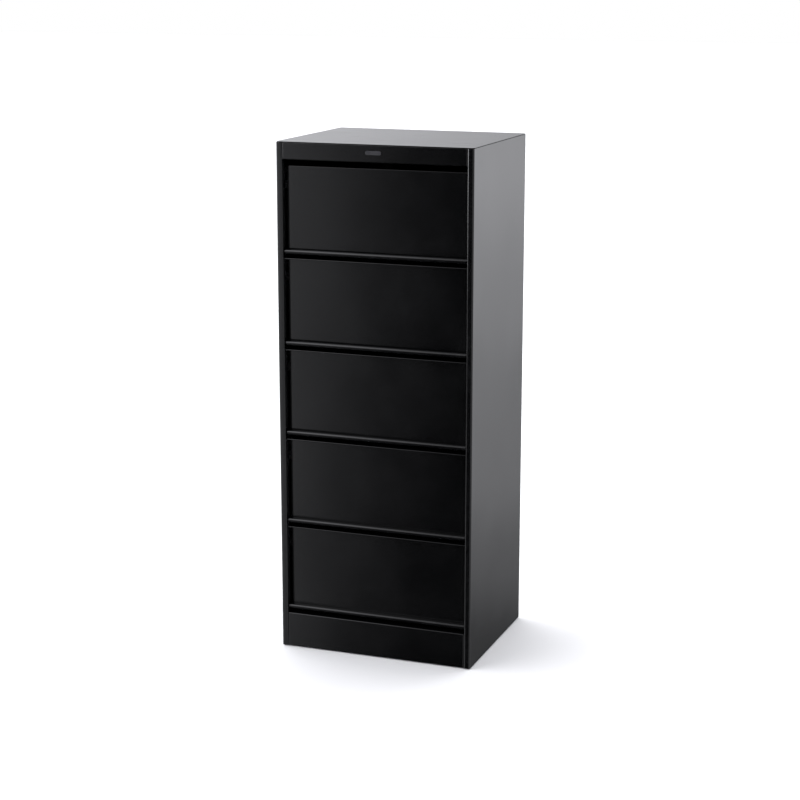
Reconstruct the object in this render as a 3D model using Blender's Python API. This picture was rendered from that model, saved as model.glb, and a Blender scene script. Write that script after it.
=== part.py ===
"""Tall sheet-steel filing cabinet with five flaps that lift up and slide back under each shelf.

Metres, +Z up. The origin is at the middle of the footprint, on the floor. The front faces -Y.
Depths are measured backwards from the front plane of the two uprights.
"""
import math

import bmesh
import bpy
from mathutils import Matrix, Vector

# Overall size
WIDTH = 0.420
DEPTH = 0.345
HEIGHT = 1.070
FOOT_HEIGHT = 0.002
SHEET = 0.001
GAP = 0.0003
CLEARANCE = 0.0005
WELD = 0.0001

# Compartments, counted from the top
COMPARTMENTS = 5
PITCH = 0.1895
PLINTH_TOP = 0.075

# Uprights, which are the folded front edges of the side panels
UPRIGHT_FACE = 0.0133
RETURN_DEPTH = 0.016
SIDE_BEND = 0.003
RETURN_BEND = 0.0025
BACK_BEND = 0.002
BACK_FLANGE = 0.015
OPENING_HALF = WIDTH / 2 - UPRIGHT_FACE
FRONT_PIECE_HALF = OPENING_HALF - GAP
SHELF_TONGUE_HALF = OPENING_HALF - CLEARANCE
INNER_HALF = WIDTH / 2 - SHEET - CLEARANCE
WIDE_DEPTH = RETURN_DEPTH + CLEARANCE
BACK_DEPTH = DEPTH - 3 * SHEET
BACK_PANEL_HALF = WIDTH / 2 - 0.0025
BACK_PANEL_BOTTOM = 0.0035

# Top, rail and plinth
TOP_SHEET = 0.0012
CARCASS_TOP = HEIGHT - TOP_SHEET - GAP
RAIL_BOTTOM = 1.0335
RAIL_TOP_FLANGE = 0.020
FACE_RECESS = 0.001
FACE_BEND = 0.002
FLANGE = 0.012
BASE_RAIL_TOP = PLINTH_TOP - FLANGE - 0.0025

# Shelves
SHELF_FRONT = 0.0045
HEM_HEIGHT = 0.0024
HEM_LENGTH = 0.012

# Flaps: panel, pull edge, hinge axis and guide studs, heights above the shelf
FLAP_HALF = 0.194
FLAP_FACE_DEPTH = 0.018
FLAP_BOTTOM = 0.0183
FLAP_TOP = 0.1872
FLAP_FLANGE = 0.014
FLAP_TOP_FLANGE = 0.010
PULL_HALF = 0.195
PULL_TOP = 0.018
PULL_FRONT = 0.004
PULL_RADIUS = 0.005
PULL_TAB_TOP = 0.030
AXIS_DEPTH = 0.024
AXIS_HEIGHT = 0.1476
STUD_RISE = 0.030
STUD_RADIUS = 0.004
STUD_END = 0.205

# Hinge rods, shoes and the rails that they run in
ROD_RADIUS = 0.0025
ROD_HALF = 0.2065
BORE_RADIUS = 0.0029
SHOE_LENGTH = 0.0134
SHOE_HEIGHT = 0.010
SHOE_INNER = 0.1987
SHOE_OUTER = 0.2069
SHOE_ROUND = 0.002
SHOE_ROUND_STEPS = 2
RAIL_SHEET = 0.0012
RAIL_HEIGHT = 0.013
RAIL_INNER = 0.1975
RAIL_OUTER = 0.2087
RAIL_FRONT = RETURN_DEPTH + GAP
RAIL_BACK = 0.181
RAIL_BEND = 0.0015
RAIL_STOP = 0.0007
RAIL_STOP_INSET = 0.0004
NOTCH_FRONT = 0.042
NOTCH_BACK = 0.059
NOTCH_HALF = STUD_END + 0.0015

# Ears on the rails, which the studs of a closed flap rest against
EAR_BACK = 0.0197
EAR_INNER = 0.198
EAR_OUTER = 0.207
EAR_RISE = 0.036

# Badge
BADGE_LENGTH = 0.034
BADGE_HEIGHT = 0.008
BADGE_SHEET = 0.0007
BADGE_Z = 1.0525

# Feet
FOOT_RADIUS = 0.008
FOOT_SOLE_RADIUS = 0.0072
FOOT_STEM_RADIUS = 0.003
FOOT_STEM_TOP = 0.006
FOOT_HOLE_RADIUS = 0.0034
FOOT_X = 0.180
FOOT_INSET = 0.015
REAR_FOOT_DEPTH = DEPTH - 0.019

# Facets
BEND_STEPS = 3
PULL_STEPS = 5
ROUND_SIDES = 12
MIN_STEP = 1e-6
SMOOTH_ANGLE = math.radians(35)

# Which world axis each of the three outline coordinates runs along; the third is the extrusion
PLANES = {"xy": (0, 1, 2), "yz": (1, 2, 0), "xz": (0, 2, 1)}


def at_depth(depth):
    """World Y of a depth behind the front plane."""
    return depth - DEPTH / 2


def shelf_height(compartment):
    """Height of the surface under a compartment, counted from 1 at the top."""
    return PLINTH_TOP + (COMPARTMENTS - compartment) * PITCH


def place(plane, first, second, third):
    """World position of outline coordinates first and second, at third along the extrusion."""
    position = [0.0, 0.0, 0.0]
    for axis, value in zip(PLANES[plane], (first, second, third)):
        position[axis] = value
    return position


def left_of(direction):
    return Vector((-direction.y, direction.x))


def folded_path(corners, radii, steps):
    """Points along a path with each inner corner rounded, each with the normal on its left."""
    points = [Vector(corner) for corner in corners]
    samples = [(points[0], left_of((points[1] - points[0]).normalized()))]
    for index, radius in enumerate(radii, start=1):
        before = (points[index] - points[index - 1]).normalized()
        after = (points[index + 1] - points[index]).normalized()
        turn = math.atan2(before.x * after.y - before.y * after.x, before.dot(after))
        side = math.copysign(1.0, turn)
        start = points[index] - before * radius * math.tan(abs(turn) / 2)
        centre = start + left_of(before) * radius * side
        for step in range(steps + 1):
            normal = Matrix.Rotation(turn * step / steps, 2) @ left_of(before)
            point = centre - normal * radius * side
            if (point - samples[-1][0]).length > MIN_STEP:
                samples.append((point, normal))
    if (points[-1] - samples[-1][0]).length > MIN_STEP:
        samples.append((points[-1], left_of(after)))
    return samples


def add_folded_sheet(mesh, plane, corners, radii, low, high, thickness=SHEET, steps=BEND_STEPS):
    """A folded sheet: the path is one face of it, and its thickness lies on the path's left."""
    rings = []
    for point, normal in folded_path(corners, radii, steps):
        inner = point + normal * thickness
        ring = []
        for spot, along in ((point, low), (inner, low), (inner, high), (point, high)):
            ring.append(mesh.verts.new(place(plane, spot.x, spot.y, along)))
        rings.append(ring)
    for start, end in zip(rings, rings[1:]):
        for corner in range(4):
            following = (corner + 1) % 4
            mesh.faces.new((start[corner], start[following], end[following], end[corner]))
    mesh.faces.new(rings[0])
    mesh.faces.new(reversed(rings[-1]))


def add_prism(mesh, plane, outline, low, high):
    """A closed outline, extruded from low to high."""
    bottom = [mesh.verts.new(place(plane, first, second, low)) for first, second in outline]
    top = [mesh.verts.new(place(plane, first, second, high)) for first, second in outline]
    for index in range(len(outline)):
        following = (index + 1) % len(outline)
        mesh.faces.new((bottom[index], bottom[following], top[following], top[index]))
    mesh.faces.new(reversed(bottom))
    mesh.faces.new(top)


def add_box(mesh, low, high):
    outline = ((low[0], low[1]), (high[0], low[1]), (high[0], high[1]), (low[0], high[1]))
    add_prism(mesh, "xy", outline, low[2], high[2])


def circle(centre, radius, sides=ROUND_SIDES):
    """Corners of a regular polygon with flats at the top and the sides."""
    corners = []
    for index in range(sides):
        angle = math.tau * (index + 0.5) / sides
        corners.append((centre[0] + radius * math.cos(angle), centre[1] + radius * math.sin(angle)))
    return corners


def add_rod(mesh, centre, radius, low, high):
    """A round bar along X, with its centre given in Y and Z."""
    add_prism(mesh, "yz", circle(centre, radius), low, high)


def mirror_x(mesh):
    bmesh.ops.scale(mesh, vec=(-1.0, 1.0, 1.0), verts=mesh.verts)


def new_object(name, mesh, material, parent=None):
    """Turn a bmesh in world coordinates into an object, whose origin is its parent's."""
    origin = parent.location.copy() if parent else Vector((0.0, 0.0, 0.0))
    bmesh.ops.translate(mesh, vec=-origin, verts=mesh.verts)
    bmesh.ops.recalc_face_normals(mesh, faces=mesh.faces)
    data = bpy.data.meshes.new(name)
    mesh.to_mesh(data)
    mesh.free()
    item = bpy.data.objects.new(name, data)
    bpy.context.collection.objects.link(item)
    item.parent = parent
    if material:
        data.materials.append(make_material(name, *material))
    shade(data)
    return item


def shade(data):
    data.shade_smooth()
    data.set_sharp_from_angle(angle=SMOOTH_ANGLE)


def make_material(name, colour, roughness, metallic):
    material = bpy.data.materials.new(name)
    material.use_nodes = True
    shader = material.node_tree.nodes["Principled BSDF"]
    shader.inputs["Base Color"].default_value = (*colour, 1.0)
    shader.inputs["Roughness"].default_value = roughness
    shader.inputs["Metallic"].default_value = metallic
    return material


def combine(target, tool_mesh, operation):
    """Apply one Boolean to target; the tool is a bmesh in world coordinates, and is used up."""
    tool = new_object(target.name + "_tool", tool_mesh, None, target.parent)
    modifier = target.modifiers.new(operation, "BOOLEAN")
    modifier.operation = operation
    modifier.solver = "EXACT"
    modifier.object = tool
    bpy.context.view_layer.update()
    evaluated = target.evaluated_get(bpy.context.evaluated_depsgraph_get())
    result = bpy.data.meshes.new_from_object(evaluated)
    target.modifiers.clear()
    replaced = target.data
    target.data = result
    bpy.data.meshes.remove(replaced)
    result.name = target.name
    used = tool.data
    bpy.data.objects.remove(tool)
    bpy.data.meshes.remove(used)
    shade(result)


# Colour, roughness and metallic value
LACQUER = ((0.012, 0.012, 0.013), 0.28, 0.0)
ZINC = ((0.55, 0.56, 0.57), 0.38, 1.0)
STEEL = ((0.62, 0.62, 0.63), 0.25, 1.0)
NYLON = ((0.05, 0.05, 0.052), 0.45, 0.0)
RUBBER = ((0.02, 0.02, 0.02), 0.8, 0.0)
BADGE = ((0.16, 0.16, 0.165), 0.35, 1.0)


def side_panel(side):
    """One side: return, upright face, outer side and back flange, folded from one sheet."""
    front = at_depth(0.0)
    back = at_depth(DEPTH)
    corners = (
        (OPENING_HALF, at_depth(RETURN_DEPTH)),
        (OPENING_HALF, front),
        (WIDTH / 2, front),
        (WIDTH / 2, back),
        (WIDTH / 2 - BACK_FLANGE, back),
    )
    mesh = bmesh.new()
    add_folded_sheet(mesh, "xy", corners, (RETURN_BEND, SIDE_BEND, BACK_BEND), FOOT_HEIGHT, CARCASS_TOP)
    if side == "left":
        mirror_x(mesh)
    new_object("side_panel_" + side, mesh, LACQUER)


def top_panel():
    """Thin flat sheet over the whole top, with its four upright edges rounded."""
    mesh = bmesh.new()
    low = (-WIDTH / 2, at_depth(0.0), HEIGHT - TOP_SHEET)
    high = (WIDTH / 2, at_depth(DEPTH), HEIGHT)
    add_box(mesh, low, high)
    corners = []
    for edge in mesh.edges:
        if abs(edge.verts[0].co.z - edge.verts[1].co.z) > TOP_SHEET / 2:
            corners.append(edge)
    bmesh.ops.bevel(mesh, geom=corners, offset=BACK_BEND, segments=BEND_STEPS, affect="EDGES", profile=0.5)
    new_object("top_panel", mesh, LACQUER)


def top_rail():
    """Front rail between the uprights, folded back at its top and its bottom."""
    face = at_depth(FACE_RECESS)
    corners = (
        (at_depth(RAIL_TOP_FLANGE), CARCASS_TOP),
        (face, CARCASS_TOP),
        (face, RAIL_BOTTOM),
        (at_depth(RETURN_DEPTH), RAIL_BOTTOM),
    )
    mesh = bmesh.new()
    add_folded_sheet(mesh, "yz", corners, (FACE_BEND, FACE_BEND), -FRONT_PIECE_HALF, FRONT_PIECE_HALF)
    new_object("top_rail", mesh, LACQUER)


def badge_plate():
    """Blank plate with round ends, on the middle of the top rail."""
    radius = BADGE_HEIGHT / 2
    reach = BADGE_LENGTH / 2 - radius
    steps = ROUND_SIDES // 2
    outline = []
    for side in (1, -1):
        for step in range(steps + 1):
            angle = math.pi * (step / steps - 0.5)
            x = side * (reach + radius * math.cos(angle))
            outline.append((x, BADGE_Z + side * radius * math.sin(angle)))
    mesh = bmesh.new()
    add_prism(mesh, "xz", outline, at_depth(0.0), at_depth(BADGE_SHEET))
    new_object("badge_plate", mesh, BADGE)


def back_panel():
    """Flat sheet inside the back flanges of the sides."""
    back = at_depth(DEPTH - SHEET - GAP)
    mesh = bmesh.new()
    low = (-BACK_PANEL_HALF, back - SHEET, BACK_PANEL_BOTTOM)
    high = (BACK_PANEL_HALF, back, CARCASS_TOP - GAP)
    add_box(mesh, low, high)
    new_object("back_panel", mesh, LACQUER)


def foot_holes(depth):
    """Cutters for the two holes that the stems of the foot glides go through."""
    tools = bmesh.new()
    for x in (-FOOT_X, FOOT_X):
        outline = circle((x, at_depth(depth)), FOOT_HOLE_RADIUS)
        add_prism(tools, "xy", outline, FOOT_HEIGHT - SHEET, FOOT_HEIGHT + 2 * SHEET)
    return tools


def base_plinth():
    """Front plinth, folded back at its top to meet the floor and at its bottom to hold the feet."""
    face = at_depth(FACE_RECESS)
    corners = (
        (at_depth(RETURN_DEPTH), PLINTH_TOP),
        (face, PLINTH_TOP),
        (face, FOOT_HEIGHT),
        (at_depth(FOOT_INSET + FLANGE), FOOT_HEIGHT),
    )
    mesh = bmesh.new()
    add_folded_sheet(mesh, "yz", corners, (FACE_BEND, FACE_BEND), -FRONT_PIECE_HALF, FRONT_PIECE_HALF)
    plinth = new_object("base_plinth", mesh, LACQUER)
    combine(plinth, foot_holes(FOOT_INSET), "DIFFERENCE")


def rear_base_rail():
    """Channel at the back of the base, open to the front."""
    back = at_depth(BACK_DEPTH - CLEARANCE)
    front = at_depth(DEPTH - 2 * FOOT_INSET)
    corners = ((front, FOOT_HEIGHT), (back, FOOT_HEIGHT), (back, BASE_RAIL_TOP), (front, BASE_RAIL_TOP))
    mesh = bmesh.new()
    add_folded_sheet(mesh, "yz", corners, (FACE_BEND, FACE_BEND), -INNER_HALF, INNER_HALF)
    rail = new_object("rear_base_rail", mesh, LACQUER)
    combine(rail, foot_holes(REAR_FOOT_DEPTH), "DIFFERENCE")


def foot_glides():
    """Four low pads, each with a stem up through the base."""
    depths = {"front": FOOT_INSET, "rear": REAR_FOOT_DEPTH}
    profile = (
        (FOOT_SOLE_RADIUS, 0.0),
        (FOOT_RADIUS, FOOT_HEIGHT / 2),
        (FOOT_RADIUS, FOOT_HEIGHT - GAP),
        (FOOT_STEM_RADIUS, FOOT_HEIGHT - GAP),
        (FOOT_STEM_RADIUS, FOOT_STEM_TOP),
    )
    for row, depth in depths.items():
        for side, x in (("left", -FOOT_X), ("right", FOOT_X)):
            mesh = bmesh.new()
            rings = []
            for radius, height in profile:
                outline = circle((x, at_depth(depth)), radius)
                rings.append([mesh.verts.new((*spot, height)) for spot in outline])
            for lower, upper in zip(rings, rings[1:]):
                for index in range(ROUND_SIDES):
                    following = (index + 1) % ROUND_SIDES
                    mesh.faces.new((lower[index], lower[following], upper[following], upper[index]))
            mesh.faces.new(reversed(rings[0]))
            mesh.faces.new(rings[-1])
            new_object("foot_glide_" + row + "_" + side, mesh, RUBBER)


def floor_panel():
    """Cabinet floor behind the plinth, with a flange down at the front and the back."""
    low = PLINTH_TOP - FLANGE
    front = at_depth(WIDE_DEPTH)
    back = at_depth(BACK_DEPTH)
    corners = ((back, low), (back, PLINTH_TOP), (front, PLINTH_TOP), (front, low))
    mesh = bmesh.new()
    add_folded_sheet(mesh, "yz", corners, (FACE_BEND, FACE_BEND), -INNER_HALF, INNER_HALF)
    new_object("floor_panel", mesh, LACQUER)


def upright_clearance(low, high):
    """Cutters for the two front corners that make room for the uprights' returns."""
    tools = bmesh.new()
    for side in (-1, 1):
        edges = sorted((side * SHELF_TONGUE_HALF, side * WIDTH))
        add_box(tools, (edges[0], at_depth(0.0), low), (edges[1], at_depth(WIDE_DEPTH), high))
    return tools


def shelf(number):
    """Shelf under compartment number: hemmed front edge, flanges down at the back and the sides."""
    top = shelf_height(number)
    low = top - FLANGE - SHEET
    front = at_depth(SHELF_FRONT)
    back = at_depth(BACK_DEPTH)
    hem = HEM_HEIGHT / 2
    corners = (
        (back, low),
        (back, top),
        (front, top),
        (front, top - HEM_HEIGHT),
        (front + HEM_LENGTH, top - HEM_HEIGHT),
    )
    mesh = bmesh.new()
    add_folded_sheet(mesh, "yz", corners, (FACE_BEND, hem, hem), -INNER_HALF, INNER_HALF)
    plate = new_object("shelf_" + str(number), mesh, LACQUER)
    flanges = bmesh.new()
    for side in (-1, 1):
        edges = sorted((side * (INNER_HALF - SHEET), side * (INNER_HALF - WELD)))
        start = (edges[0], at_depth(WIDE_DEPTH + SHEET), low)
        end = (edges[1], at_depth(BACK_DEPTH) - 2 * SHEET, top - SHEET / 2)
        add_box(flanges, start, end)
    combine(plate, flanges, "UNION")
    combine(plate, upright_clearance(low - SHEET, top + SHEET), "DIFFERENCE")


def ceiling_panel():
    """Ceiling of the top compartment, level with the rail, with a flange up at the front and the back."""
    high = RAIL_BOTTOM + FLANGE
    front = at_depth(WIDE_DEPTH)
    back = at_depth(BACK_DEPTH)
    corners = ((front, high), (front, RAIL_BOTTOM), (back, RAIL_BOTTOM), (back, high))
    mesh = bmesh.new()
    add_folded_sheet(mesh, "yz", corners, (FACE_BEND, FACE_BEND), -INNER_HALF, INNER_HALF)
    new_object("ceiling_panel", mesh, LACQUER)


def guide_rail(number, side):
    """Channel open to the middle, notched for the flap's stud, with an ear that stops a closed flap."""
    centre = shelf_height(number) + AXIS_HEIGHT
    low = centre - RAIL_HEIGHT / 2
    high = centre + RAIL_HEIGHT / 2
    front = at_depth(RAIL_FRONT)
    back = at_depth(RAIL_BACK)
    corners = ((RAIL_INNER, low), (RAIL_OUTER, low), (RAIL_OUTER, high), (RAIL_INNER, high))
    mesh = bmesh.new()
    add_folded_sheet(mesh, "xz", corners, (RAIL_BEND, RAIL_BEND), front, back, RAIL_SHEET)
    inset = RAIL_STOP_INSET
    stops = bmesh.new()
    for start, end in ((front + inset / 2, front + RAIL_STOP), (back - 2 * RAIL_STOP, back - inset / 2)):
        low_corner = (RAIL_INNER + inset, start, low + inset)
        high_corner = (RAIL_OUTER - inset, end, high - inset)
        add_box(stops, low_corner, high_corner)
    ear = bmesh.new()
    ear_low = (EAR_INNER, at_depth(EAR_BACK) - RAIL_SHEET, high - RAIL_SHEET / 2)
    add_box(ear, ear_low, (EAR_OUTER, at_depth(EAR_BACK), centre + EAR_RISE))
    notch = bmesh.new()
    notch_low = (RAIL_INNER - SHEET, at_depth(NOTCH_FRONT), centre + SHOE_HEIGHT / 2)
    notch_high = (NOTCH_HALF, at_depth(NOTCH_BACK), high + SHEET)
    add_box(notch, notch_low, notch_high)
    if side == "left":
        for part in (mesh, stops, ear, notch):
            mirror_x(part)
    rail = new_object("guide_rail_" + str(number) + "_" + side, mesh, ZINC)
    combine(rail, stops, "UNION")
    combine(rail, ear, "UNION")
    combine(rail, notch, "DIFFERENCE")


def hinge_rod(number, carriage):
    mesh = bmesh.new()
    centre = (carriage.location.y, carriage.location.z)
    add_rod(mesh, centre, ROD_RADIUS, -ROD_HALF, ROD_HALF)
    new_object("hinge_rod_" + str(number), mesh, STEEL, carriage)


def glide_shoe(number, side, carriage):
    """Block that slides in the guide rail, bored for the end of the hinge rod."""
    y = carriage.location.y
    z = carriage.location.z
    mesh = bmesh.new()
    low = (SHOE_INNER, y - SHOE_LENGTH / 2, z - SHOE_HEIGHT / 2)
    high = (SHOE_OUTER, y + SHOE_LENGTH / 2, z + SHOE_HEIGHT / 2)
    add_box(mesh, low, high)
    ends = []
    for edge in mesh.edges:
        if abs(edge.verts[0].co.x - edge.verts[1].co.x) > SHEET:
            ends.append(edge)
    bmesh.ops.bevel(
        mesh, geom=ends, offset=SHOE_ROUND, segments=SHOE_ROUND_STEPS, affect="EDGES", profile=0.5
    )
    bore = bmesh.new()
    add_rod(bore, (y, z), BORE_RADIUS, SHOE_INNER - SHEET, SHOE_OUTER + SHEET)
    if side == "left":
        mirror_x(mesh)
        mirror_x(bore)
    shoe = new_object("glide_shoe_" + str(number) + "_" + side, mesh, NYLON, carriage)
    combine(shoe, bore, "DIFFERENCE")


def flap_panel(number, flap):
    """Flat front with flanges back at both sides and the top, and a guide stud on each side."""
    base = shelf_height(number)
    y = flap.location.y
    z = flap.location.z
    face = at_depth(FLAP_FACE_DEPTH)
    edge = at_depth(FLAP_FACE_DEPTH + FLAP_FLANGE)
    corners = ((-FLAP_HALF, edge), (-FLAP_HALF, face), (FLAP_HALF, face), (FLAP_HALF, edge))
    mesh = bmesh.new()
    add_folded_sheet(mesh, "xy", corners, (FACE_BEND, FACE_BEND), base + FLAP_BOTTOM, base + FLAP_TOP)
    panel = new_object("flap_" + str(number) + "_panel", mesh, LACQUER, flap)
    top_flange = bmesh.new()
    half = FLAP_HALF - SHEET / 2
    top = base + FLAP_TOP - WELD
    add_box(top_flange, (-half, face + SHEET / 2, top - SHEET), (half, face + FLAP_TOP_FLANGE, top))
    combine(panel, top_flange, "UNION")
    for start, end in ((-STUD_END, -FLAP_HALF + SHEET / 2), (FLAP_HALF - SHEET / 2, STUD_END)):
        stud = bmesh.new()
        add_rod(stud, (y, z + STUD_RISE), STUD_RADIUS, start, end)
        combine(panel, stud, "UNION")
    bore = bmesh.new()
    add_rod(bore, (y, z), BORE_RADIUS, -FLAP_HALF - SHEET, FLAP_HALF + SHEET)
    combine(panel, bore, "DIFFERENCE")


def flap_pull(number, flap):
    """Full-width pull: a tab up behind the panel, a ledge forward, and a rolled front edge."""
    base = shelf_height(number)
    tab = at_depth(FLAP_FACE_DEPTH + SHEET + GAP)
    top = base + PULL_TOP
    front = at_depth(PULL_FRONT)
    roll = 2 * PULL_RADIUS
    corners = (
        (tab, base + PULL_TAB_TOP),
        (tab, top),
        (front, top),
        (front, top - roll),
        (front + roll, top - roll),
        (front + roll, top - PULL_RADIUS),
    )
    radii = (SHEET / 2, PULL_RADIUS, PULL_RADIUS, PULL_RADIUS)
    mesh = bmesh.new()
    add_folded_sheet(mesh, "yz", corners, radii, -PULL_HALF, PULL_HALF, steps=PULL_STEPS)
    pull = new_object("flap_" + str(number) + "_pull", mesh, LACQUER, flap)
    ends = bmesh.new()
    tab_half = FLAP_HALF - SHEET - 2 * GAP
    for side in (-1, 1):
        edges = sorted((side * tab_half, side * WIDTH / 2))
        low = (edges[0], tab - SHEET, top + GAP / 4)
        high = (edges[1], tab + 3 * SHEET, base + PULL_TAB_TOP + SHEET)
        add_box(ends, low, high)
    combine(pull, ends, "DIFFERENCE")


def axis_empty(name, number):
    """Marks the hinge axis of one flap; the pieces that move with it are its children."""
    empty = bpy.data.objects.new(name + "_" + str(number), None)
    height = shelf_height(number) + AXIS_HEIGHT
    empty.location = (0.0, at_depth(AXIS_DEPTH), height)
    bpy.context.collection.objects.link(empty)
    return empty


def compartment(number):
    """One flap with its rod, shoes and rails."""
    carriage = axis_empty("carriage", number)
    flap = axis_empty("flap", number)
    hinge_rod(number, carriage)
    for side in ("left", "right"):
        glide_shoe(number, side, carriage)
        guide_rail(number, side)
    flap_panel(number, flap)
    flap_pull(number, flap)


def main():
    for item in list(bpy.data.objects):
        bpy.data.objects.remove(item, do_unlink=True)
    for side in ("left", "right"):
        side_panel(side)
    top_panel()
    top_rail()
    badge_plate()
    back_panel()
    base_plinth()
    rear_base_rail()
    foot_glides()
    floor_panel()
    ceiling_panel()
    for number in range(1, COMPARTMENTS):
        shelf(number)
    for number in range(1, COMPARTMENTS + 1):
        compartment(number)


main()
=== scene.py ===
"""Looks of the black sheet-steel filing cabinet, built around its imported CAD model.

Metres, +Z up, front facing -Y. Every place comes from the boxes of the CAD nodes.
"""
import math

import bmesh
import bpy
from mathutils import Matrix, Vector


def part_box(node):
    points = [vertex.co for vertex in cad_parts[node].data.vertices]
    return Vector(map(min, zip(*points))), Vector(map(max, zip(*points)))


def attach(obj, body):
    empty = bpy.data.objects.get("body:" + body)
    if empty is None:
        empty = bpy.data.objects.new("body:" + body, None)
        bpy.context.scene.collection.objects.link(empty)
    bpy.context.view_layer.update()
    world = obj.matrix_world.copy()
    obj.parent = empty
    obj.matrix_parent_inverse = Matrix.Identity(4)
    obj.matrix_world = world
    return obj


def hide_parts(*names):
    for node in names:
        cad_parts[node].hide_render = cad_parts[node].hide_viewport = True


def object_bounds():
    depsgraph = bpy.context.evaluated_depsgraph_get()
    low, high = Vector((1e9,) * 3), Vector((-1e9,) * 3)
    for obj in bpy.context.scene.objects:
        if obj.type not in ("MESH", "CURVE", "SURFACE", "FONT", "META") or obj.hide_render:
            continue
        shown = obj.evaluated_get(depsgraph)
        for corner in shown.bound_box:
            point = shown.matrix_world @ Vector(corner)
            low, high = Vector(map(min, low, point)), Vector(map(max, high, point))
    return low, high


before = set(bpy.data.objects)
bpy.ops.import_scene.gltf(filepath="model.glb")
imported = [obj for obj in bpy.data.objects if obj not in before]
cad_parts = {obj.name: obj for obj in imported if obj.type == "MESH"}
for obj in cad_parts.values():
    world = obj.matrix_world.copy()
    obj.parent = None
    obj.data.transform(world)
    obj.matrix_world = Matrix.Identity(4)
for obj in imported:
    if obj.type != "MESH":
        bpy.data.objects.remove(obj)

CAD_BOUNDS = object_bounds()

COMPARTMENTS = 5
SIDES = (("left", -1), ("right", 1))
SHEET = 0.001

# Fold radii, measured on the outside of each bend
SIDE_BEND = 0.003
RETURN_BEND = 0.0025
SMALL_BEND = 0.002
RAIL_SHEET = 0.0012
RAIL_BEND = 0.0015
TAB_BEND = 0.0005
UPRIGHT_FACE = 0.0133
RETURN_DEPTH = 0.016
END_FLANGE = 0.012
PAN_FLANGE = 0.015
RAIL_TOP_FLANGE = 0.019
FOOT_FLANGE = 0.026
HEM_HEIGHT = 0.0024
HEM_LENGTH = 0.012
TONGUE_GAP = 0.0013
SHELF_FLANGE_SETBACK = 1.5 * SHEET
SHELF_FLANGE_INSET = SHEET / 10

# Pull edge and hinge
PULL_RADIUS = 0.005
PULL_LEDGE_TOP = 0.010
STUD_RADIUS = 0.004
STUD_HEAD_RADIUS = 0.0031
STUD_RISE = 0.030
STUD_CHAMFER = 0.001
BORE_RADIUS = 0.0029
FLAP_HALF = 0.194
TAB_HALF = 0.1924
TAB_CUT_GAP = SHEET / 12
TOP_FLANGE_SHORTER = 0.004

# Guide channels, measured from the front end of each
STOP_INSET = 0.0004
STOP_LENGTH = 0.0007
NOTCH_FRONT = 0.0257
NOTCH_BACK = 0.0427
NOTCH_FLOOR = 0.005
NOTCH_WEB = 0.0022
EAR_FRONT = 0.0022
EAR_BACK = 0.0034
EAR_INSET = 0.0005
EAR_OUTER = 0.207

# How much lower the sides end in the seam under the top sheet
SEAM_CUT = 0.0005

# Softened edges
EDGE_ROUND = 0.0002
EDGE_SEGMENTS = 2
TOP_EDGE_ROUND = 0.0004
TOP_EDGE_FALL = 0.0003
TOP_EDGE_WIDTH = 0.0028
TOP_CORNER = 2 * TOP_EDGE_WIDTH
MOULDED_ROUND = 0.0004
BADGE_ROUND = 0.00025
SMALLEST_CORNER_SHARE = 0.25
# Just under a half circle, so that the badge's corners don't fall on each other
BADGE_END_SHARE = 0.999
SHOE_CORNER = 0.002
FOOT_TOP = 0.0017
FOOT_RIM = 0.0005
ROD_CHAMFER_SHARE = 0.2
FLAT_WEIGHT = 100

# Rivets on the back flanges
RIVET_RADIUS = 0.0026
RIVET_RISE = 0.0009
RIVET_ROWS = 7
RIVET_INSET = 0.007
RIVET_END_GAP = 0.045

# Facets
BEND_STEPS = 8
ROLL_STEPS = 14
ROUND_SIDES = 40
MIN_STEP = 1e-6
SMOOTH_ANGLE = math.radians(32)
BEVEL_ANGLE = math.radians(50)

# Camera: the photograph's viewing angle
CAMERA_AZIMUTH = math.radians(20.46)
CAMERA_ELEVATION = math.radians(12.99)
CAMERA_DISTANCE = 4.037
CAMERA_LENS = 85.8
CAMERA_SENSOR = 36.0
AIM_FROM_CENTRE = Vector((-0.0066, -0.0025, -0.019))

# Studio: the floor lies just under the feet, and no wall is brighter than TOP_LEVEL
FLOOR_SIZE = 60.0
FLOOR_DROP = 0.0002
TOP_LEVEL = 10.0
OVERHEAD_LEVEL = 3.2
COOL_TINT = (0.975, 0.98, 1.02)

# Lacquer
LACQUER_DARK = (0.0016, 0.0017, 0.0019)
LACQUER_LIGHT = (0.0028, 0.0029, 0.0032)
LACQUER_ROUGHNESS = 0.10
LACQUER_UNEVENNESS = 0.02
LACQUER_IOR = 1.52
DUST_COLOUR = (0.060, 0.060, 0.062)
LEAST_DUST = 0.01
WORN_COLOUR = (0.030, 0.030, 0.032)
WORN_ROUGHNESS = 0.2
LEAST_SCUFF = 0.01
SMUDGE_ROUGHNESS = 0.10

# Sockets of a Mix node that carry colours
COLOUR_A = 6
COLOUR_B = 7
COLOUR_RESULT = 2

PLANES = {"xy": (0, 1, 2), "yz": (1, 2, 0), "xz": (0, 2, 1)}


# ---------------------------------------------------------------- mesh helpers

def place(plane, first, second, third):
    """World position of outline coordinates first and second, at third along the extrusion."""
    position = [0.0, 0.0, 0.0]
    for axis, value in zip(PLANES[plane], (first, second, third)):
        position[axis] = value
    return position


def left_of(direction):
    return Vector((-direction.y, direction.x))


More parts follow.
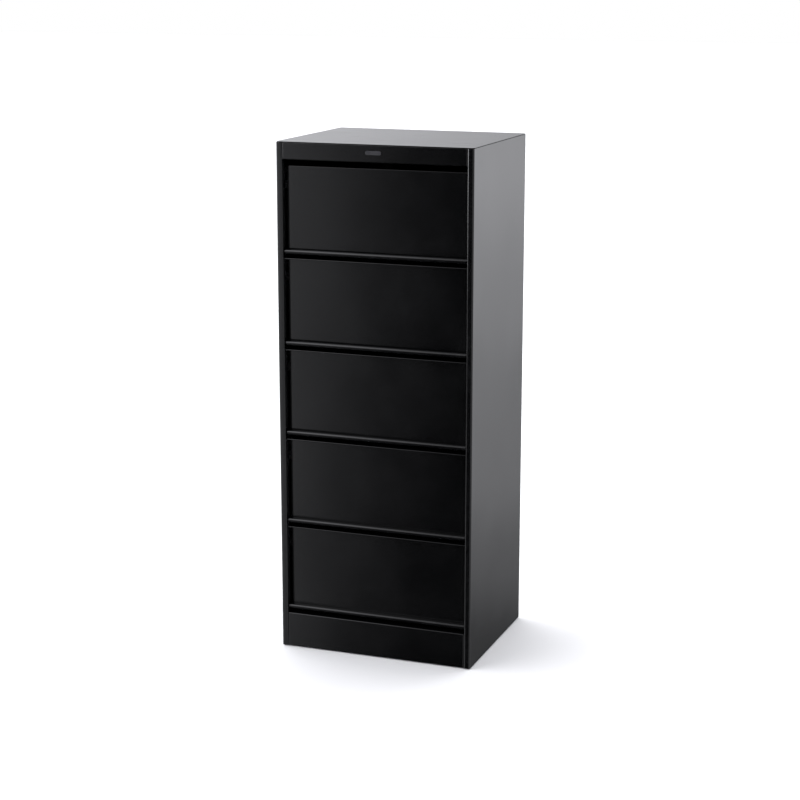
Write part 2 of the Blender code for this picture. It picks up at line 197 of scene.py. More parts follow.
def folded_path(corners, radii, steps):
    """Points along a path with each inner corner rounded, each with the normal on its left."""
    points = [Vector(corner) for corner in corners]
    samples = [(points[0], left_of((points[1] - points[0]).normalized()))]
    for index, radius in enumerate(radii, start=1):
        before = (points[index] - points[index - 1]).normalized()
        after = (points[index + 1] - points[index]).normalized()
        turn = math.atan2(before.x * after.y - before.y * after.x, before.dot(after))
        side = math.copysign(1.0, turn)
        start = points[index] - before * radius * math.tan(abs(turn) / 2)
        centre = start + left_of(before) * radius * side
        for step in range(steps + 1):
            normal = Matrix.Rotation(turn * step / steps, 2) @ left_of(before)
            point = centre - normal * radius * side
            if (point - samples[-1][0]).length > MIN_STEP:
                samples.append((point, normal))
    if (points[-1] - samples[-1][0]).length > MIN_STEP:
        samples.append((points[-1], left_of(after)))
    return samples


def join_rings(mesh, rings):
    """Faces between closed rings of equally many vertices, each joined to the next."""
    for lower, upper in zip(rings, rings[1:]):
        for index in range(len(lower)):
            following = (index + 1) % len(lower)
            mesh.faces.new((lower[index], lower[following], upper[following], upper[index]))


def add_folded_sheet(mesh, plane, corners, radii, low, high, thickness=SHEET, steps=BEND_STEPS):
    """A folded sheet: the path is one face of it, and its thickness lies on the path's left."""
    rings = []
    for point, normal in folded_path(corners, radii, steps):
        inner = point + normal * thickness
        ring = []
        for spot, along in ((point, low), (inner, low), (inner, high), (point, high)):
            ring.append(mesh.verts.new(place(plane, spot.x, spot.y, along)))
        rings.append(ring)
    join_rings(mesh, rings)
    mesh.faces.new(rings[0])
    mesh.faces.new(reversed(rings[-1]))


def add_prism(mesh, plane, outline, low, high):
    """A closed outline, extruded from low to high."""
    bottom = [mesh.verts.new(place(plane, first, second, low)) for first, second in outline]
    top = [mesh.verts.new(place(plane, first, second, high)) for first, second in outline]
    join_rings(mesh, (bottom, top))
    mesh.faces.new(reversed(bottom))
    mesh.faces.new(top)


def add_box(mesh, low, high):
    outline = ((low[0], low[1]), (high[0], low[1]), (high[0], high[1]), (low[0], high[1]))
    add_prism(mesh, "xy", outline, low[2], high[2])


def circle(centre, radius, sides=ROUND_SIDES):
    corners = []
    for index in range(sides):
        angle = math.tau * (index + 0.5) / sides
        corners.append((centre[0] + radius * math.cos(angle), centre[1] + radius * math.sin(angle)))
    return corners


def rounded_rectangle(low, high, radius, steps=BEND_STEPS):
    """Corners of a rectangle with round corners, anticlockwise."""
    outline = []
    centres = (
        (high[0] - radius, high[1] - radius),
        (low[0] + radius, high[1] - radius),
        (low[0] + radius, low[1] + radius),
        (high[0] - radius, low[1] + radius),
    )
    for quarter, centre in enumerate(centres):
        for step in range(steps + 1):
            angle = (quarter + step / steps) * math.pi / 2
            outline.append((centre[0] + radius * math.cos(angle), centre[1] + radius * math.sin(angle)))
    return outline


def add_turned(mesh, plane, centre, profile, sides=ROUND_SIDES):
    """A solid of revolution: profile is (radius, height along the axis) from one end to the other."""
    rings = []
    for radius, height in profile:
        ring = [mesh.verts.new(place(plane, *spot, height)) for spot in circle(centre, radius, sides)]
        rings.append(ring)
    join_rings(mesh, rings)
    mesh.faces.new(reversed(rings[0]))
    mesh.faces.new(rings[-1])


def mirror_x(mesh):
    bmesh.ops.scale(mesh, vec=(-1.0, 1.0, 1.0), verts=mesh.verts)


def new_object(name, mesh):
    bmesh.ops.recalc_face_normals(mesh, faces=mesh.faces)
    data = bpy.data.meshes.new(name)
    mesh.to_mesh(data)
    mesh.free()
    item = bpy.data.objects.new(name, data)
    bpy.context.scene.collection.objects.link(item)
    shade(data)
    return item


def shade(data):
    data.shade_smooth()
    data.set_sharp_from_angle(angle=SMOOTH_ANGLE)


def combine(target, tool_mesh, operation):
    """Apply one Boolean to target; the tool is a bmesh in world coordinates, and is used up."""
    tool = new_object(target.name + "_tool", tool_mesh)
    modifier = target.modifiers.new(operation, "BOOLEAN")
    modifier.operation = operation
    modifier.solver = "EXACT"
    modifier.object = tool
    bpy.context.view_layer.update()
    evaluated = target.evaluated_get(bpy.context.evaluated_depsgraph_get())
    result = bpy.data.meshes.new_from_object(evaluated)
    target.modifiers.clear()
    replaced = target.data
    target.data = result
    bpy.data.meshes.remove(replaced)
    used = tool.data
    bpy.data.objects.remove(tool)
    bpy.data.meshes.remove(used)
    shade(result)


def soften(item, width=EDGE_ROUND):
    """Round the cut edges of a sheet a little, as paint and tumbling leave them."""
    bevel = item.modifiers.new("soft_edges", "BEVEL")
    bevel.width = width
    bevel.segments = EDGE_SEGMENTS
    bevel.limit_method = "ANGLE"
    bevel.angle_limit = BEVEL_ANGLE
    keep_flat(item)


def keep_flat(item):
    """Keep the shading of large flat faces flat, right up to the bends beside them."""
    weighted = item.modifiers.new("flat_shading", "WEIGHTED_NORMAL")
    weighted.mode = "FACE_AREA"
    weighted.weight = FLAT_WEIGHT
    weighted.keep_sharp = True


def finish_piece(item, material, body, slot_name, *nodes):
    """Give a piece its finish, the body that it rides on and the CAD nodes that it stands for."""
    item.data.materials.clear()
    item.data.materials.append(material)
    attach(item, body)
    if nodes:
        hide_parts(*nodes)


# ---------------------------------------------------------------- materials

class Nodes:
    """Short names for adding and joining the nodes of one tree."""

    def __init__(self, tree):
        self.tree = tree

    def add(self, kind, **values):
        node = self.tree.nodes.new(kind)
        for key, value in values.items():
            setattr(node, key, value)
        return node

    def link(self, source, target):
        self.tree.links.new(source, target)

    def noise(self, position, scale, detail, roughness=0.5):
        node = self.add("ShaderNodeTexNoise")
        node.inputs["Scale"].default_value = scale
        node.inputs["Detail"].default_value = detail
        node.inputs["Roughness"].default_value = roughness
        self.link(position, node.inputs["Vector"])
        return node.outputs["Fac"]

    def remap(self, value, low, high, new_low, new_high):
        node = self.add("ShaderNodeMapRange", interpolation_type="SMOOTHSTEP")
        names = ("From Min", "From Max", "To Min", "To Max")
        for name, number in zip(names, (low, high, new_low, new_high)):
            node.inputs[name].default_value = number
        self.link(value, node.inputs["Value"])
        return node.outputs["Result"]

    def math(self, operation, first, second):
        node = self.add("ShaderNodeMath", operation=operation)
        for socket, value in zip(node.inputs, (first, second)):
            if isinstance(value, (int, float)):
                socket.default_value = value
            else:
                self.link(value, socket)
        return node.outputs[0]

    def mix_colour(self, factor, first, second):
        node = self.add("ShaderNodeMix", data_type="RGBA")
        self.link(factor, node.inputs["Factor"])
        for socket, value in ((node.inputs[COLOUR_A], first), (node.inputs[COLOUR_B], second)):
            if isinstance(value, tuple):
                socket.default_value = (*value, 1.0)
            else:
                self.link(value, socket)
        return node.outputs[COLOUR_RESULT]

    def stretched(self, position, factors):
        node = self.add("ShaderNodeMapping")
        node.inputs["Scale"].default_value = factors
        self.link(position, node.inputs["Vector"])
        return node.outputs["Vector"]

    def bump(self, height, strength, distance, before=None):
        node = self.add("ShaderNodeBump")
        node.inputs["Strength"].default_value = strength
        node.inputs["Distance"].default_value = distance
        self.link(height, node.inputs["Height"])
        if before:
            self.link(before, node.inputs["Normal"])
        return node.outputs["Normal"]


def new_material(name):
    material = bpy.data.materials.new(name)
    material.use_nodes = True
    nodes = Nodes(material.node_tree)
    shader = material.node_tree.nodes["Principled BSDF"]
    position = nodes.add("ShaderNodeTexCoord").outputs["Object"]
    return material, nodes, shader, position


def black_lacquer(name, smudges, dust=0.0, wear=0.5, waviness=1.0):
    """Baked black enamel: orange peel, a slightly wavy sheet, faint dust, smudges and edge wear."""
    material, nodes, shader, position = new_material(name)
    geometry = nodes.add("ShaderNodeNewGeometry")
    cloud = nodes.noise(position, 9.0, 3.0)
    speck = nodes.noise(position, 1400.0, 1.0)
    colour = nodes.mix_colour(cloud, LACQUER_DARK, LACQUER_LIGHT)

    grime = nodes.remap(nodes.noise(position, 26.0, 5.0, 0.6), 0.45, 0.75, 0.0, 1.0)
    dust_grain = nodes.remap(speck, 0.45, 0.72, 0.0, 1.0)
    dust_share = nodes.math("MULTIPLY", nodes.math("MULTIPLY", grime, dust_grain), LEAST_DUST + dust)
    colour = nodes.mix_colour(dust_share, colour, DUST_COLOUR)

    edge = nodes.remap(geometry.outputs["Pointiness"], 0.53, 0.60, 0.0, 1.0)
    patches = nodes.remap(nodes.noise(position, 120.0, 4.0, 0.65), 0.50, 0.66, 0.0, 1.0)
    worn = nodes.math("MULTIPLY", nodes.math("MULTIPLY", edge, patches), wear)
    colour = nodes.mix_colour(worn, colour, WORN_COLOUR)
    nodes.link(colour, shader.inputs["Base Color"])

    smoothest = LACQUER_ROUGHNESS - LACQUER_UNEVENNESS
    roughest = LACQUER_ROUGHNESS + LACQUER_UNEVENNESS
    base_roughness = nodes.remap(cloud, 0.3, 0.7, smoothest, roughest)
    scuffed = nodes.math("MULTIPLY", grime, LEAST_SCUFF + SMUDGE_ROUGHNESS * smudges)
    roughness = nodes.math("ADD", base_roughness, scuffed)
    roughness = nodes.math("ADD", roughness, nodes.math("MULTIPLY", worn, WORN_ROUGHNESS))
    nodes.link(roughness, shader.inputs["Roughness"])

    wave = nodes.noise(position, 4.5, 1.0)
    peel = nodes.noise(position, 420.0, 2.0)
    wavy = nodes.bump(wave, 0.35 * waviness, 0.0016)
    nodes.link(nodes.bump(peel, 0.05, 0.0004, wavy), shader.inputs["Normal"])
    shader.inputs["IOR"].default_value = LACQUER_IOR
    return material


def bright_steel(name, colour, roughness, grain_along, grain=0.5):
    """Bare or zinc-plated steel, drawn or rolled along one axis."""
    material, nodes, shader, position = new_material(name)
    factors = [900.0, 900.0, 900.0]
    factors[grain_along] = 12.0
    lines = nodes.noise(nodes.stretched(position, factors), 1.0, 3.0)
    cloud = nodes.noise(position, 60.0, 4.0)
    dark = tuple(part * 0.62 for part in colour)
    nodes.link(nodes.mix_colour(cloud, dark, colour), shader.inputs["Base Color"])
    shader.inputs["Metallic"].default_value = 1.0
    streaked = nodes.remap(lines, 0.3, 0.7, roughness - 0.08, roughness + 0.10)
    nodes.link(streaked, shader.inputs["Roughness"])
    nodes.link(nodes.bump(lines, 0.12 * grain, 0.0003), shader.inputs["Normal"])
    return material


def moulded(name, dark, light, roughness, grain_scale, grain_strength):
    """Moulded nylon or rubber with a fine grain."""
    material, nodes, shader, position = new_material(name)
    cloud = nodes.noise(position, 40.0, 4.0)
    grain = nodes.noise(position, grain_scale, 3.0, 0.6)
    nodes.link(nodes.mix_colour(cloud, dark, light), shader.inputs["Base Color"])
    nodes.link(nodes.remap(grain, 0.3, 0.7, roughness - 0.06, roughness + 0.08), shader.inputs["Roughness"])
    nodes.link(nodes.bump(grain, grain_strength, 0.0003), shader.inputs["Normal"])
    return material


def make_materials():
    return {
        "side": black_lacquer("lacquer_sides", dust=0.02, smudges=0.3),
        "top": black_lacquer("lacquer_top", dust=0.10, smudges=0.5, waviness=0.8),
        "front": black_lacquer("lacquer_front", smudges=0.05),
        "flap": black_lacquer("lacquer_flaps", dust=0.005, smudges=0.05),
        "pull": black_lacquer("lacquer_pulls", wear=0.9, smudges=0.6, waviness=0.3),
        "inside": black_lacquer("lacquer_inside", dust=0.01, wear=0.0, smudges=0.1),
        "zinc": bright_steel("zinc_plate", (0.50, 0.51, 0.53), 0.34, 1),
        "rod": bright_steel("drawn_steel", (0.56, 0.56, 0.57), 0.24, 0),
        "rivet": bright_steel("rivet_steel", (0.045, 0.045, 0.048), 0.36, 2),
        "badge": bright_steel("badge_aluminium", (0.15, 0.15, 0.16), 0.32, 0, 0.8),
        "nylon": moulded("black_nylon", (0.012, 0.012, 0.013), (0.022, 0.022, 0.024), 0.42, 700.0, 0.20),
        "rubber": moulded("black_rubber", (0.009, 0.009, 0.009), (0.016, 0.016, 0.016), 0.72, 500.0, 0.35),
    }


# ---------------------------------------------------------------- fixed sheets

def side_sheet(side, sign, material):
    """One side, folded at the front into the upright and its return, and at the back into a flange."""
    node = "side_panel_" + side
    low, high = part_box("side_panel_right")
    opening = high.x - UPRIGHT_FACE
    corners = (
        (opening, low.y + RETURN_DEPTH),
        (opening, low.y),
        (high.x, low.y),
        (high.x, high.y),
        (low.x, high.y),
    )
    mesh = bmesh.new()
    add_folded_sheet(mesh, "xy", corners, (RETURN_BEND, SIDE_BEND, SMALL_BEND), low.z, high.z - SEAM_CUT)
    if sign < 0:
        mirror_x(mesh)
    item = new_object(side + "_side", mesh)
    soften(item)
    finish_piece(item, material, "cabinet", "black_lacquer", node)


def top_sheet(material):
    """Top sheet whose upper face rolls over gently all round before its rounded edge."""
    low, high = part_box("top_panel")
    outer_top = high.z - TOP_EDGE_FALL - TOP_EDGE_ROUND
    levels = [(0.0, low.z + SEAM_CUT / 2)]
    for step in range(BEND_STEPS + 1):
        angle = step / BEND_STEPS * math.pi / 2
        inset = TOP_EDGE_ROUND * (1 - math.cos(angle))
        levels.append((inset, outer_top + TOP_EDGE_ROUND * math.sin(angle)))
    for step in range(1, BEND_STEPS + 1):
        share = step / BEND_STEPS
        inset = TOP_EDGE_ROUND + (TOP_EDGE_WIDTH - TOP_EDGE_ROUND) * share
        levels.append((inset, high.z - TOP_EDGE_FALL * (1 - share) ** 2))
    mesh = bmesh.new()
    rings = []
    for inset, height in levels:
        outline = pan_ring((low.x, low.y), (high.x, high.y), inset, TOP_CORNER)
        rings.append([mesh.verts.new((x, y, height)) for x, y in outline])
    join_rings(mesh, rings)
    mesh.faces.new(reversed(rings[0]))
    mesh.faces.new(rings[-1])
    item = new_object("top_sheet", mesh)
    keep_flat(item)
    finish_piece(item, material, "cabinet", "black_lacquer", "top_panel")


def face_bend(radius):
    """(inset, depth) round the bend at a face's rim, from the flat face to the flange."""
    levels = []
    for step in range(BEND_STEPS + 1):
        angle = step / BEND_STEPS * math.pi / 2
        levels.append((radius * (1 - math.sin(angle)), radius * (1 - math.cos(angle))))
    return levels


def pan_ring(low, high, inset, corner):
    """One loop of a pan, inset from its outer outline."""
    start = (low[0] + inset, low[1] + inset)
    end = (high[0] - inset, high[1] - inset)
    return rounded_rectangle(start, end, max(corner - inset, corner * SMALLEST_CORNER_SHARE))


def front_pan(name, node, top_flange, bottom_flange, material):
    """A shallow pan between the uprights: a face with round edges, folded back on all four sides."""
    low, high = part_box(node)
    radius = SMALL_BEND
    mesh = bmesh.new()
    rings = []
    for inset, depth in face_bend(radius):
        outline = pan_ring((low.x, low.z), (high.x, high.z), inset, radius)
        rings.append([mesh.verts.new((x, low.y + depth, z)) for x, z in outline])
    outline = pan_ring((low.x, low.z), (high.x, high.z), 0.0, radius)
    rim = []
    for x, z in outline:
        depth = END_FLANGE
        if z > high.z - radius / 2:
            depth = top_flange
        if z < low.z + radius / 2:
            depth = bottom_flange
        rim.append(mesh.verts.new((x, low.y + depth, z)))
    rings.append(rim)
    join_rings(mesh, rings)
    mesh.faces.new(rings[0])
    item = new_object(name, mesh)
    thicken(item)
    soften(item)
    finish_piece(item, material, "cabinet", "black_lacquer", node)


def thicken(item):
    """Give a single surface the thickness of the sheet, behind its outer face."""
    solid = item.modifiers.new("sheet", "SOLIDIFY")
    solid.thickness = SHEET
    solid.offset = -1.0
    solid.use_even_offset = True


def badge(material):
    low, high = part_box("badge_plate")
    radius = (high.z - low.z) / 2
    mesh = bmesh.new()
    outline = rounded_rectangle((low.x, low.z), (high.x, high.z), radius * BADGE_END_SHARE, ROLL_STEPS)
    add_prism(mesh, "xz", outline, low.y, high.y)
    item = new_object("badge", mesh)
    soften(item, BADGE_ROUND)
    finish_piece(item, material, "cabinet", "badge", "badge_plate")


def shelf_sheet(number, material):
    """Shelf with a closed hem at the front and flanges down at the back and the sides."""
    node = "shelf_" + str(number)
    low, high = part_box(node)
    left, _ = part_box("side_panel_left")
    inner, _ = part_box("guide_rail_1_right")
    hem = HEM_HEIGHT / 2
    corners = (
        (high.y, low.z),
        (high.y, high.z),
        (low.y, high.z),
        (low.y, high.z - HEM_HEIGHT),
        (low.y + HEM_LENGTH, high.z - HEM_HEIGHT),
    )
    mesh = bmesh.new()
    add_folded_sheet(mesh, "yz", corners, (SMALL_BEND, hem, hem), low.x, high.x)
    item = new_object("shelf_sheet_" + str(number), mesh)
    back_of_return = left.y + RETURN_DEPTH
    flanges = bmesh.new()
    corners_cut = bmesh.new()
    tongue = inner.x - TONGUE_GAP
    for sign in (-1, 1):
        edges = sorted((sign * (high.x - SHEET), sign * (high.x - SHELF_FLANGE_INSET)))
        start = (edges[0], back_of_return + SHELF_FLANGE_SETBACK, low.z)
        end = (edges[1], high.y - 2 * SHEET, high.z - SHEET / 2)
        add_box(flanges, start, end)
        edges = sorted((sign * tongue, sign * (high.x + SHEET)))
        start = (edges[0], low.y - SHEET, low.z - SHEET)
        end = (edges[1], back_of_return + SHEET / 2, high.z + SHEET)
        add_box(corners_cut, start, end)
    combine(item, flanges, "UNION")
    combine(item, corners_cut, "DIFFERENCE")
    soften(item, EDGE_ROUND / 2)
    finish_piece(item, material, "cabinet", "black_lacquer", node)


def rear_rivets(material):
    """Domed rivets that hold the back panel to the flanges of the sides."""
    low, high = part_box("side_panel_right")
    mesh = bmesh.new()
    span = high.z - low.z - 2 * RIVET_END_GAP
    profile = []
    for step in range(BEND_STEPS):
        angle = step / BEND_STEPS * math.pi / 2
        profile.append((RIVET_RADIUS * math.cos(angle), high.y + RIVET_RISE * math.sin(angle)))
    for row in range(RIVET_ROWS):
        z = low.z + RIVET_END_GAP + span * row / (RIVET_ROWS - 1)
        for sign in (-1, 1):
            add_turned(mesh, "xz", (sign * (low.x + RIVET_INSET), z), profile, ROUND_SIDES // 2)
    item = new_object("rear_rivets", mesh)
    finish_piece(item, material, "cabinet", "black_lacquer")


def foot(node, material):
    """Low round pad with a soft rim."""
    low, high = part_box(node)
    centre = ((low.x + high.x) / 2, (low.y + high.y) / 2)
    radius = (high.x - low.x) / 2
    rim = FOOT_RIM
    profile = [(radius - 2 * rim, low.z)]
    for step in range(BEND_STEPS + 1):
        angle = (step / BEND_STEPS - 1) * math.pi / 2
        profile.append((radius - rim + rim * math.cos(angle), low.z + rim + rim * math.sin(angle)))
    profile.append((radius, low.z + FOOT_TOP))
    mesh = bmesh.new()
    add_turned(mesh, "xy", centre, profile)
    item = new_object(node.replace("foot_glide", "foot"), mesh)
    finish_piece(item, material, "cabinet", "rubber", node)


# ---------------------------------------------------------------- compartments

def rod_centre(number):
    """Depth and height of a flap's hinge axis."""
    low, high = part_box("hinge_rod_" + str(number))
    return (low.y + high.y) / 2, (low.z + high.z) / 2


def guide(number, side, sign, material):
    """Guide channel with its notch, its end stops and the ear that stops a closed flap."""
    node = "guide_rail_" + str(number) + "_" + side
    low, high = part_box("guide_rail_" + str(number) + "_right")
    _, middle = rod_centre(number)
    top = 2 * middle - low.z
    corners = ((low.x, low.z), (high.x, low.z), (high.x, top), (low.x, top))
    mesh = bmesh.new()
    add_folded_sheet(mesh, "xz", corners, (RAIL_BEND, RAIL_BEND), low.y, high.y, RAIL_SHEET)
    inset = STOP_INSET
    ends = ((low.y + inset / 2, low.y + STOP_LENGTH), (high.y - 2 * STOP_LENGTH, high.y - inset / 2))
    stops = bmesh.new()
    for start, end in ends:
        add_box(stops, (low.x + inset, start, low.z + inset), (high.x - inset, end, top - inset))
    ear = bmesh.new()
    ear_low = (low.x + EAR_INSET, low.y + EAR_FRONT, top - RAIL_SHEET / 2)
    add_box(ear, ear_low, (EAR_OUTER, low.y + EAR_BACK, high.z))
    notch = bmesh.new()
    notch_low = (low.x - SHEET, low.y + NOTCH_FRONT, middle + NOTCH_FLOOR)
    add_box(notch, notch_low, (high.x - NOTCH_WEB, low.y + NOTCH_BACK, top + SHEET))
    if sign < 0:
        for part in (mesh, stops, ear, notch):
            mirror_x(part)
    item = new_object("guide_" + str(number) + "_" + side, mesh)
    combine(item, stops, "UNION")
    combine(item, ear, "UNION")
    combine(item, notch, "DIFFERENCE")
    soften(item, EDGE_ROUND / 2)
    finish_piece(item, material, "cabinet", "zinc_steel", node)


def rod(number, material):
    """Hinge rod with chamfered ends."""
    node = "hinge_rod_" + str(number)
    low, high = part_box(node)
    radius = (high.z - low.z) / 2
    chamfer = radius * ROD_CHAMFER_SHARE
    profile = (
        (radius - chamfer, low.x),
        (radius, low.x + chamfer),
        (radius, high.x - chamfer),
        (radius - chamfer, high.x),
    )
    mesh = bmesh.new()
    add_turned(mesh, "yz", rod_centre(number), profile)
    item = new_object("rod_" + str(number), mesh)
    finish_piece(item, material, "carriage_" + str(number), "rod_steel", node)


def shoe(number, side, material):
    """Moulded shoe, bored for the rod, with soft corners."""
    node = "glide_shoe_" + str(number) + "_" + side
    low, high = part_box(node)
    mesh = bmesh.new()
    outline = rounded_rectangle((low.y, low.z), (high.y, high.z), SHOE_CORNER)
    add_prism(mesh, "yz", outline, low.x, high.x)
    item = new_object("shoe_" + str(number) + "_" + side, mesh)
    bore = bmesh.new()
    add_prism(bore, "yz", circle(rod_centre(number), BORE_RADIUS), low.x - SHEET, high.x + SHEET)
    combine(item, bore, "DIFFERENCE")
    soften(item, MOULDED_ROUND)
    finish_piece(item, material, "carriage_" + str(number), "nylon", node)


def flap_ring(low, high, inset, corner):
    """One loop of a flap, open at the bottom: up the left edge, across the top, down the right."""
    outline = [(low[0] + inset, low[1])]
    radius = max(corner - inset, corner * SMALLEST_CORNER_SHARE)
    height = high[1] - inset - radius
    centres = ((low[0] + inset + radius, -1), (high[0] - inset - radius, 0))
    for x, quarter in centres:
        for step in range(BEND_STEPS + 1):
            angle = -(quarter + step / BEND_STEPS) * math.pi / 2 + math.pi / 2
            outline.append((x + radius * math.cos(angle), height + radius * math.sin(angle)))
    outline.append((high[0] - inset, low[1]))
    return outline


def flap_sheet(number, material):
    """Flat flap front with round edges, folded back at both sides and the top."""
    node = "flap_" + str(number) + "_panel"
    low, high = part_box(node)
    start = (-FLAP_HALF, low.z)
    end = (FLAP_HALF, high.z)
    mesh = bmesh.new()
    rings = []
    for inset, depth in face_bend(SMALL_BEND):
        outline = flap_ring(start, end, inset, SMALL_BEND)
        rings.append([mesh.verts.new((x, low.y + depth, z)) for x, z in outline])
    rim = []
    for x, z in flap_ring(start, end, 0.0, SMALL_BEND):
        depth = high.y - low.y
        if z > high.z - SMALL_BEND / 2:
            depth = depth - TOP_FLANGE_SHORTER
        rim.append(mesh.verts.new((x, low.y + depth, z)))
    rings.append(rim)
    for inner, outer in zip(rings, rings[1:]):
        for index in range(len(inner) - 1):
            mesh.faces.new((inner[index], inner[index + 1], outer[index + 1], outer[index]))
    mesh.faces.new(rings[0])
    item = new_object("flap_sheet_" + str(number), mesh)
    turn_outward(item)
    thicken(item)
    bores = bmesh.new()
    bore = circle(rod_centre(number), BORE_RADIUS)
    add_prism(bores, "yz", bore, -FLAP_HALF - SHEET, FLAP_HALF + SHEET)
    combine(item, bores, "DIFFERENCE")
    soften(item, EDGE_ROUND / 2)
    finish_piece(item, material, "flap_" + str(number), "black_lacquer", node)


def turn_outward(item):
    """Make the large front face of a single surface face -Y."""
    largest = max(item.data.polygons, key=lambda face: face.area)
    if largest.normal.y > 0:
        item.data.flip_normals()


def flap_stud(number, side, sign, material):
    """Guide stud riveted to the flap's side flange: a shank with a rounded end."""
    low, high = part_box("flap_" + str(number) + "_panel")
    y, z = rod_centre(number)
    start = FLAP_HALF + EDGE_ROUND
    profile = ((STUD_RADIUS, start), (STUD_RADIUS, high.x - STUD_CHAMFER), (STUD_HEAD_RADIUS, high.x))
    mesh = bmesh.new()
    add_turned(mesh, "yz", (y, z + STUD_RISE), profile)
    if sign < 0:
        mirror_x(mesh)
    item = new_object("flap_stud_" + str(number) + "_" + side, mesh)
    finish_piece(item, material, "flap_" + str(number), "black_lacquer")


def pull_edge(number, material):
    """Full-width pull: a tab up behind the flap, a ledge forward, and a rolled front edge."""
    node = "flap_" + str(number) + "_pull"
    low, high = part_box(node)
    tab = high.y - SHEET
    top = low.z + PULL_LEDGE_TOP
    roll = 2 * PULL_RADIUS
    corners = (
        (tab, high.z),
        (tab, top),
        (low.y, top),
        (low.y, top - roll),
        (low.y + roll, top - roll),
        (low.y + roll, top - PULL_RADIUS),
    )
    radii = (TAB_BEND, PULL_RADIUS, PULL_RADIUS, PULL_RADIUS)
    mesh = bmesh.new()
    add_folded_sheet(mesh, "yz", corners, radii, low.x, high.x, steps=ROLL_STEPS)
    item = new_object("pull_edge_" + str(number), mesh)
    ends = bmesh.new()
    for sign in (-1, 1):
        edges = sorted((sign * TAB_HALF, sign * (high.x + SHEET)))
        start = (edges[0], tab - SHEET, top + TAB_CUT_GAP)
        add_box(ends, start, (edges[1], high.y + SHEET, high.z + SHEET))
    combine(item, ends, "DIFFERENCE")
    soften(item, EDGE_ROUND / 2)
    finish_piece(item, material, "flap_" + str(number), "black_lacquer", node)


def compartment(number, materials):
    for side, sign in SIDES:
        guide(number, side, sign, materials["zinc"])
        shoe(number, side, materials["nylon"])
        flap_stud(number, side, sign, materials["rivet"])
    rod(number, materials["rod"])
    flap_sheet(number, materials["flap"])
    pull_edge(number, materials["pull"])


def carried_over(materials):
    """CAD nodes that stay: flat inner sheets, which get the lacquer and soft edges."""
    for name in ("back_panel", "rear_base_rail", "floor_panel", "ceiling_panel"):
        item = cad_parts[name]
        item.data.materials.clear()
        item.data.materials.append(materials["inside"])
        soften(item, EDGE_ROUND / 2)


# ---------------------------------------------------------------- studio

def ramp(nodes, value, stops):
    """A colour ramp used as a curve: stops are (place from -1 to 1, level up to TOP_LEVEL)."""
    node = nodes.add("ShaderNodeValToRGB")
    band = node.color_ramp
    band.interpolation = "EASE"
    while len(band.elements) < len(stops):
        band.elements.new(0.5)
    for element, (spot, level) in zip(band.elements, stops):
        element.position = (spot + 1) / 2
        share = level / TOP_LEVEL
        element.color = (share, share, share, 1.0)
    half = nodes.math("ADD", nodes.math("MULTIPLY", value, 0.5), 0.5)
    nodes.link(half, node.inputs["Fac"])
    return nodes.math("MULTIPLY", node.outputs["Color"], TOP_LEVEL)


def blend_level(nodes, weight, first, second):
    """first where weight is 0, second where it is 1."""
    keep = nodes.math("MULTIPLY", first, nodes.math("SUBTRACT", 1.0, weight))
    return nodes.math("ADD", keep, nodes.math("MULTIPLY", second, weight))


def wall_level(nodes, x, y, z):
    """How bright the studio is in direction (x, y, z), as the glossy lacquer mirrors it."""
    # Far wall, mirrored by the top sheet and the right side
    behind = ramp(nodes, z, ((-0.42, 0.04), (-0.345, 0.16), (-0.306, 0.42), (-0.262, 0.68), (-0.218, 0.76),
                             (-0.174, 0.98), (-0.10, 1.34), (0.0, 1.05), (0.094, 0.66), (0.20, 0.9),
                             (0.35, 2.4), (0.9, 2.6)))
    across = ramp(nodes, x, ((-0.43, 1.16), (-0.25, 0.76), (-0.1, 0.8), (0.1, 0.8), (0.25, 0.72),
                             (0.34, 1.26)))
    behind = nodes.math("MULTIPLY", behind, across)

    # Wall behind the camera, mirrored by the front: upright bands below the horizon, and a glow above
    front_side = ramp(nodes, x, ((-1.0, 0.9), (-0.44, 1.2), (-0.385, 0.50), (-0.355, 0.12), (-0.325, 0.01),
                                 (-0.24, 0.01), (-0.12, 0.3), (0.0, 1.2), (0.12, 1.0), (0.42, 0.3),
                                 (0.6, 0.5), (1.0, 0.8)))
    height = ramp(nodes, z, ((-0.9, 0.2), (-0.5, 0.2), (-0.37, 1.0), (-0.11, 1.0), (-0.02, 0.2), (0.9, 0.2)))
    glow = ramp(nodes, z, ((0.2, 0.0), (0.4, 1.9), (0.9, 1.5)))
    glow = nodes.math("MULTIPLY", glow, nodes.remap(x, -0.42, -0.28, 1.5, 0.3))
    front = nodes.math("ADD", nodes.math("MULTIPLY", front_side, height), glow)

    # Right wall, and the left wall with its dark and bright strips below the horizon
    right = ramp(nodes, z, ((-0.6, 0.25), (-0.42, 0.45), (-0.3, 0.75), (-0.1, 1.1), (0.2, 1.3)))
    left = ramp(nodes, z, ((-0.42, 0.9), (-0.27, 0.5), (-0.235, 0.02), (-0.195, 0.02), (-0.165, 0.5),
                           (-0.135, 4.0), (-0.10, 10.0), (-0.06, 8.0), (0.03, 2.6), (0.6, 2.4)))

    back_share = nodes.remap(y, 0.1, 0.6, 0.0, 1.0)
    left_share = nodes.remap(x, -0.78, -0.93, 0.0, 1.0)
    right_share = nodes.remap(x, 0.45, 0.62, 0.0, 1.0)
    overhead_share = nodes.remap(z, 0.94, 0.98, 0.0, 1.0)
    behind = blend_level(nodes, right_share, behind, right)
    level = blend_level(nodes, back_share, front, behind)
    level = blend_level(nodes, left_share, level, left)
    return blend_level(nodes, overhead_share, level, OVERHEAD_LEVEL)


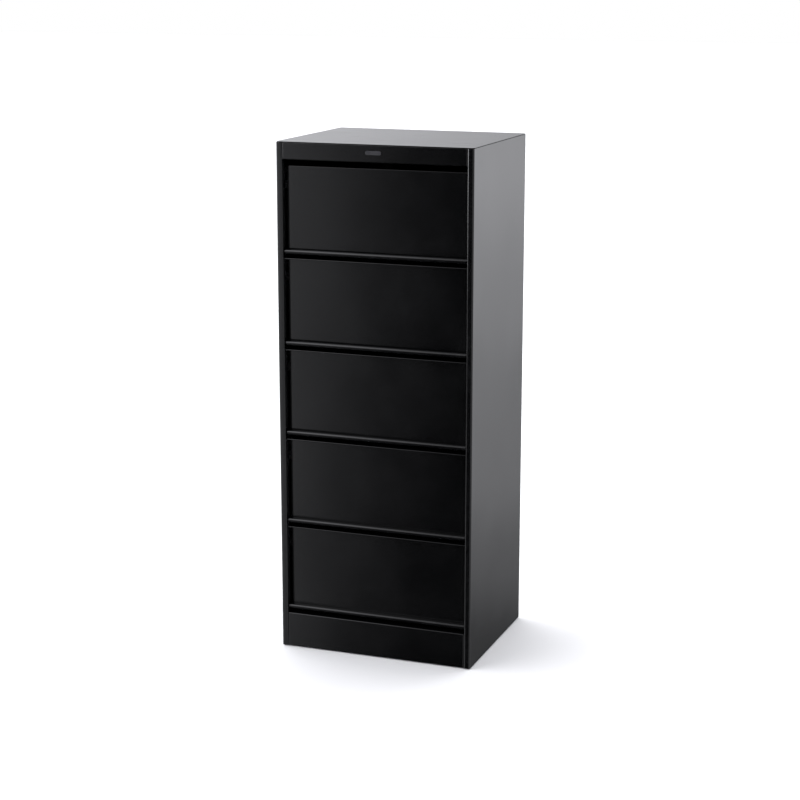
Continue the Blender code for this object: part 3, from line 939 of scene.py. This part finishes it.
def studio_world():
    """White studio: its walls shade off in reflections, and the camera sees plain white."""
    world = bpy.data.worlds.new("studio")
    bpy.context.scene.world = world
    world.use_nodes = True
    nodes = Nodes(world.node_tree)
    background = world.node_tree.nodes["Background"]
    output = world.node_tree.nodes["World Output"]
    direction = nodes.add("ShaderNodeTexCoord").outputs["Generated"]
    axes = nodes.add("ShaderNodeSeparateXYZ")
    nodes.link(direction, axes.inputs["Vector"])
    level = wall_level(nodes, *axes.outputs)

    tint = nodes.add("ShaderNodeMix", data_type="RGBA")
    tint.blend_type = "MULTIPLY"
    tint.inputs["Factor"].default_value = 1.0
    tint.inputs[COLOUR_A].default_value = (*COOL_TINT, 1.0)
    nodes.link(level, tint.inputs[COLOUR_B])
    nodes.link(tint.outputs[COLOUR_RESULT], background.inputs["Color"])

    plain = nodes.add("ShaderNodeBackground")
    plain.inputs["Color"].default_value = (1.0, 1.0, 1.0, 1.0)
    seen = nodes.add("ShaderNodeLightPath").outputs["Is Camera Ray"]
    chooser = nodes.add("ShaderNodeMixShader")
    nodes.link(seen, chooser.inputs["Fac"])
    nodes.link(background.outputs["Background"], chooser.inputs[1])
    nodes.link(plain.outputs["Background"], chooser.inputs[2])
    nodes.link(chooser.outputs["Shader"], output.inputs["Surface"])


def studio_floor():
    """Large pale floor, which fades into the white background."""
    mesh = bmesh.new()
    bmesh.ops.create_grid(mesh, x_segments=1, y_segments=1, size=FLOOR_SIZE / 2)
    floor = new_object("floor", mesh)
    material, nodes, shader, position = new_material("pale_floor")
    cloud = nodes.noise(position, 3.0, 3.0)
    nodes.link(nodes.mix_colour(cloud, (0.90, 0.90, 0.90), (0.93, 0.93, 0.93)), shader.inputs["Base Color"])
    shader.inputs["Roughness"].default_value = 0.9
    shader.inputs["Specular IOR Level"].default_value = 0.1
    floor.data.materials.append(material)
    floor.location.z = CAD_BOUNDS[0].z - FLOOR_DROP
    floor.visible_glossy = False


def camera():
    data = bpy.data.cameras.new("camera")
    data.lens = CAMERA_LENS
    data.sensor_width = CAMERA_SENSOR
    item = bpy.data.objects.new("camera", data)
    bpy.context.scene.collection.objects.link(item)
    low, high = CAD_BOUNDS
    aim = (low + high) / 2 + AIM_FROM_CENTRE
    across = math.cos(CAMERA_ELEVATION)
    back = Vector((
        math.sin(CAMERA_AZIMUTH) * across,
        -math.cos(CAMERA_AZIMUTH) * across,
        math.sin(CAMERA_ELEVATION),
    ))
    item.location = aim + back * CAMERA_DISTANCE
    item.rotation_mode = "QUATERNION"
    item.rotation_quaternion = (-back).to_track_quat("-Z", "Y")
    bpy.context.scene.camera = item


def main():
    bpy.context.scene.view_settings.view_transform = "Standard"
    materials = make_materials()
    for side, sign in SIDES:
        side_sheet(side, sign, materials["side"])
    top_sheet(materials["top"])
    front_pan("front_rail", "top_rail", RAIL_TOP_FLANGE, PAN_FLANGE, materials["front"])
    front_pan("plinth", "base_plinth", PAN_FLANGE, FOOT_FLANGE, materials["front"])
    badge(materials["badge"])
    rear_rivets(materials["rivet"])
    for row in ("front", "rear"):
        for side, _ in SIDES:
            foot("foot_glide_" + row + "_" + side, materials["rubber"])
    for number in range(1, COMPARTMENTS):
        shelf_sheet(number, materials["inside"])
    for number in range(1, COMPARTMENTS + 1):
        compartment(number, materials)
    carried_over(materials)
    studio_world()
    studio_floor()
    camera()


main()
